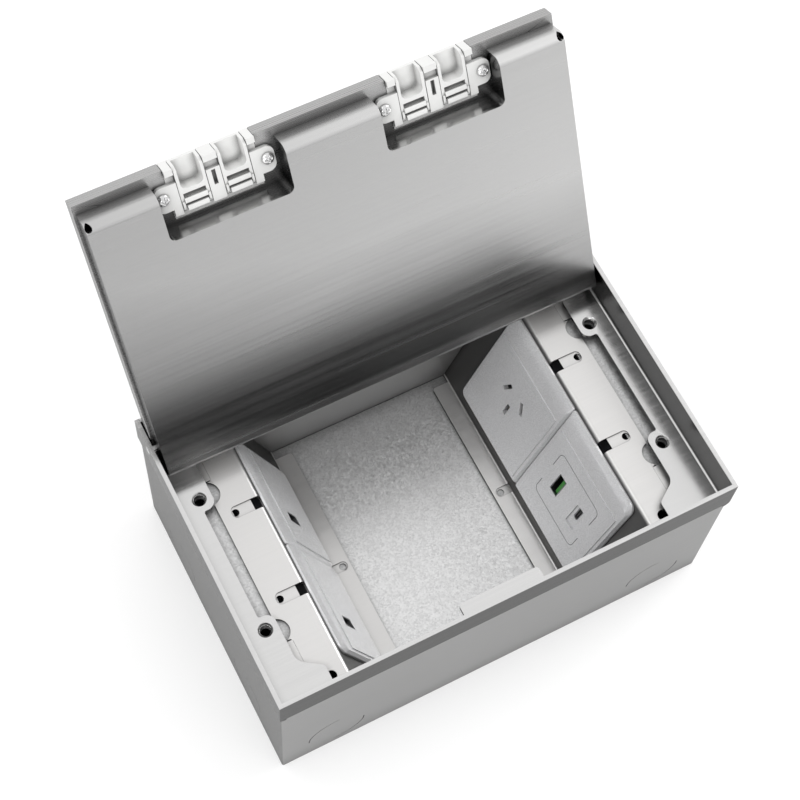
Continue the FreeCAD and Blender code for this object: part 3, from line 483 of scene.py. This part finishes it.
def print_frame(sketch):
    """Thin printed frame on the charger, open in the middle of its two ends."""
    y0, y1, top, bottom, corner = -45.7, -10.6, 22.0, 55.0, 3.0
    gap_start, gap_end = 33.0, 46.0
    width, surface, sunk = 0.32, 0.53, 0.05

    def corner_arc(cx, cy, start):
        angles = [math.radians(start + 15 * k) for k in range(7)]
        return [(cx + corner * math.cos(angle), cy + corner * math.sin(angle)) for angle in angles]

    upper_bend = corner_arc(y0 + corner, top + corner, 180) + corner_arc(y1 - corner, top + corner, 270)
    lower_bend = corner_arc(y1 - corner, bottom - corner, 0) + corner_arc(y0 + corner, bottom - corner, 90)
    upper = [(y0, gap_start)] + upper_bend + [(y1, gap_start)]
    lower = [(y1, gap_end)] + lower_bend + [(y0, gap_end)]
    section = ((-1, surface - sunk), (-1, surface), (1, surface), (1, surface - sunk))
    for path in (upper, lower):
        points = [Vector(point) for point in path]
        rows = []
        for index, point in enumerate(points):
            ahead = points[min(index + 1, len(points) - 1)] - points[max(index - 1, 0)]
            aside = Vector((-ahead.y, ahead.x)).normalized() * width / 2
            rows.append([sketch.verts.new((point.x + way * aside.x, point.y + way * aside.y, z))
                         for way, z in section])
        for first, second in zip(rows, rows[1:]):
            join_rows(sketch, first, second)
        sketch.faces.new(rows[0])
        sketch.faces.new(rows[-1][::-1])


def bracket_wings(sketch):
    """Narrow ends of the bracket plates, carried on under the ledges."""
    inner, outer, start, finish, underside, upperside = 93.35, 99.5, 42.6, 72.3, 77.4, 78.85
    for side in (-1, 1):
        for end in (-1, 1):
            x0, x1 = sorted((side * inner, side * outer))
            y0, y1 = sorted((end * start, end * finish))
            add_prism(sketch, [(x0, y0), (x1, y0), (x1, y1), (x0, y1)], underside, upperside)


screws = piece("outlet_screws_fine", outlet_screws, finishes["screw"], "lid", LID_MATRIX)
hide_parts("outlet_screws")
for place, side in (("left", -1), ("right", 1)):
    for end, offset in (("a", -FLAP_OFFSET), ("b", FLAP_OFFSET)):
        piece("knuckles_%s_%s" % (place, end), flap_knuckles(side * OUTLET_X + offset),
              finishes["flap_plastic"], "flap_%s_%s" % (place, end), LID_MATRIX, 0.12)
piece("ear_threads", ear_threads, finishes["rim_steel"], "box")
piece("charger_print_frame", print_frame, print_ink, "box", ON_WEB)
piece("bracket_wings", bracket_wings, finishes["bracket_steel"], "box", rounding=0.12)


# ------------------------------------------------------------------ studio
def add_floor():
    """Pale ground: white to the camera and in reflections, plain grey in the light it throws back."""
    half = 3.0
    mesh = bpy.data.meshes.new("floor")
    corners = [(-half, -half, 0), (half, -half, 0), (half, half, 0), (-half, half, 0)]
    mesh.from_pydata(corners, [], [(0, 1, 2, 3)])
    floor = bpy.data.objects.new("floor", mesh)
    bpy.context.scene.collection.objects.link(floor)
    shader = Shader("floor")
    shader.set(Roughness=0.9, Emission_Color=grey(1.0) + (1,))
    shown = shader.background_rays()
    shader.colour(shader.blend(shown, grey(0.60), grey(0.74)))
    shader.link(shader.spread(shown, 0.0, 0.26, 0.0, 1.0), shader.main.inputs["Emission Strength"])
    mesh.materials.append(shader.material)


def add_world():
    """Soft studio, brightest overhead and darkest at the sides, and white where it is seen."""
    world = bpy.data.worlds.new("studio")
    bpy.context.scene.world = world
    world.use_nodes = True
    sky = Nodes(world.node_tree)
    direction = sky.split(sky.node("ShaderNodeTexCoord").outputs["Generated"])

    def ramp(stops):
        """Grey levels against the height of the view direction."""
        made = sky.node("ShaderNodeValToRGB")
        elements = made.color_ramp.elements
        elements[0].position, elements[-1].position = stops[0][0], stops[-1][0]
        elements[0].color, elements[-1].color = grey(stops[0][1]) + (1,), grey(stops[-1][1]) + (1,)
        for position, level in stops[1:-1]:
            elements.new(position).color = grey(level) + (1,)
        sky.link(direction["Z"], made.inputs[0])
        return made.outputs[0]

    at_sides = ramp(((0.0, 0.95), (0.12, 0.90), (0.35, 0.22), (0.70, 0.32), (0.92, 1.22)))
    in_front = ramp(((0.0, 0.95), (0.12, 0.92), (0.35, 0.82), (0.70, 0.95), (0.92, 1.22)))
    frontal = sky.spread(sky.calculate("ABSOLUTE", direction["Y"]), 0.0, 1.0, 0.30, 0.60)
    behind = sky.spread(direction["Y"], 1.0, 1.45, 0.3, 0.9)
    lifted = sky.node("ShaderNodeVectorMath", operation="SCALE")
    sky.link(sky.blend(frontal, at_sides, in_front), lifted.inputs[0])
    sky.link(behind, lifted.inputs["Scale"])
    seen = sky.blend(sky.background_rays(), lifted.outputs["Vector"], grey(1.0))
    background = sky.tree.nodes["Background"]
    sky.link(seen, background.inputs["Color"])
    background.inputs["Strength"].default_value = 1.0


def add_lamp(name, place, size, power):
    """Rectangular soft box aimed at the middle of the object."""
    light = bpy.data.lights.new(name, "AREA")
    light.shape = "RECTANGLE"
    light.size, light.size_y = size
    light.energy = power
    lamp = bpy.data.objects.new(name, light)
    lamp.location = place
    lamp.rotation_euler = (Vector((0, 0, 0.05)) - Vector(place)).to_track_quat("-Z", "Y").to_euler()
    bpy.context.scene.collection.objects.link(lamp)


def add_camera():
    camera = bpy.data.objects.new("camera", bpy.data.cameras.new("camera"))
    bpy.context.scene.collection.objects.link(camera)
    camera.location = (-0.20026, -0.26921, 0.87348)
    camera.rotation_euler = [math.radians(angle) for angle in (24.502, -3.266, -27.636)]
    camera.data.lens = 83.85
    camera.data.sensor_width = 36.0
    camera.data.shift_x = -0.0227
    camera.data.shift_y = 0.0142
    camera.data.clip_end = 20.0
    bpy.context.scene.camera = camera


add_floor()
add_world()
add_lamp("top_softbox", (-1.2, -0.3, 1.7), (1.2, 1.2), 9)
add_lamp("front_softbox", (-1.0, -1.7, 0.5), (1.2, 0.8), 9)
add_lamp("right_softbox", (1.5, 0.1, 1.2), (0.8, 0.8), 11)
add_camera()
bpy.context.scene.view_settings.view_transform = "Standard"
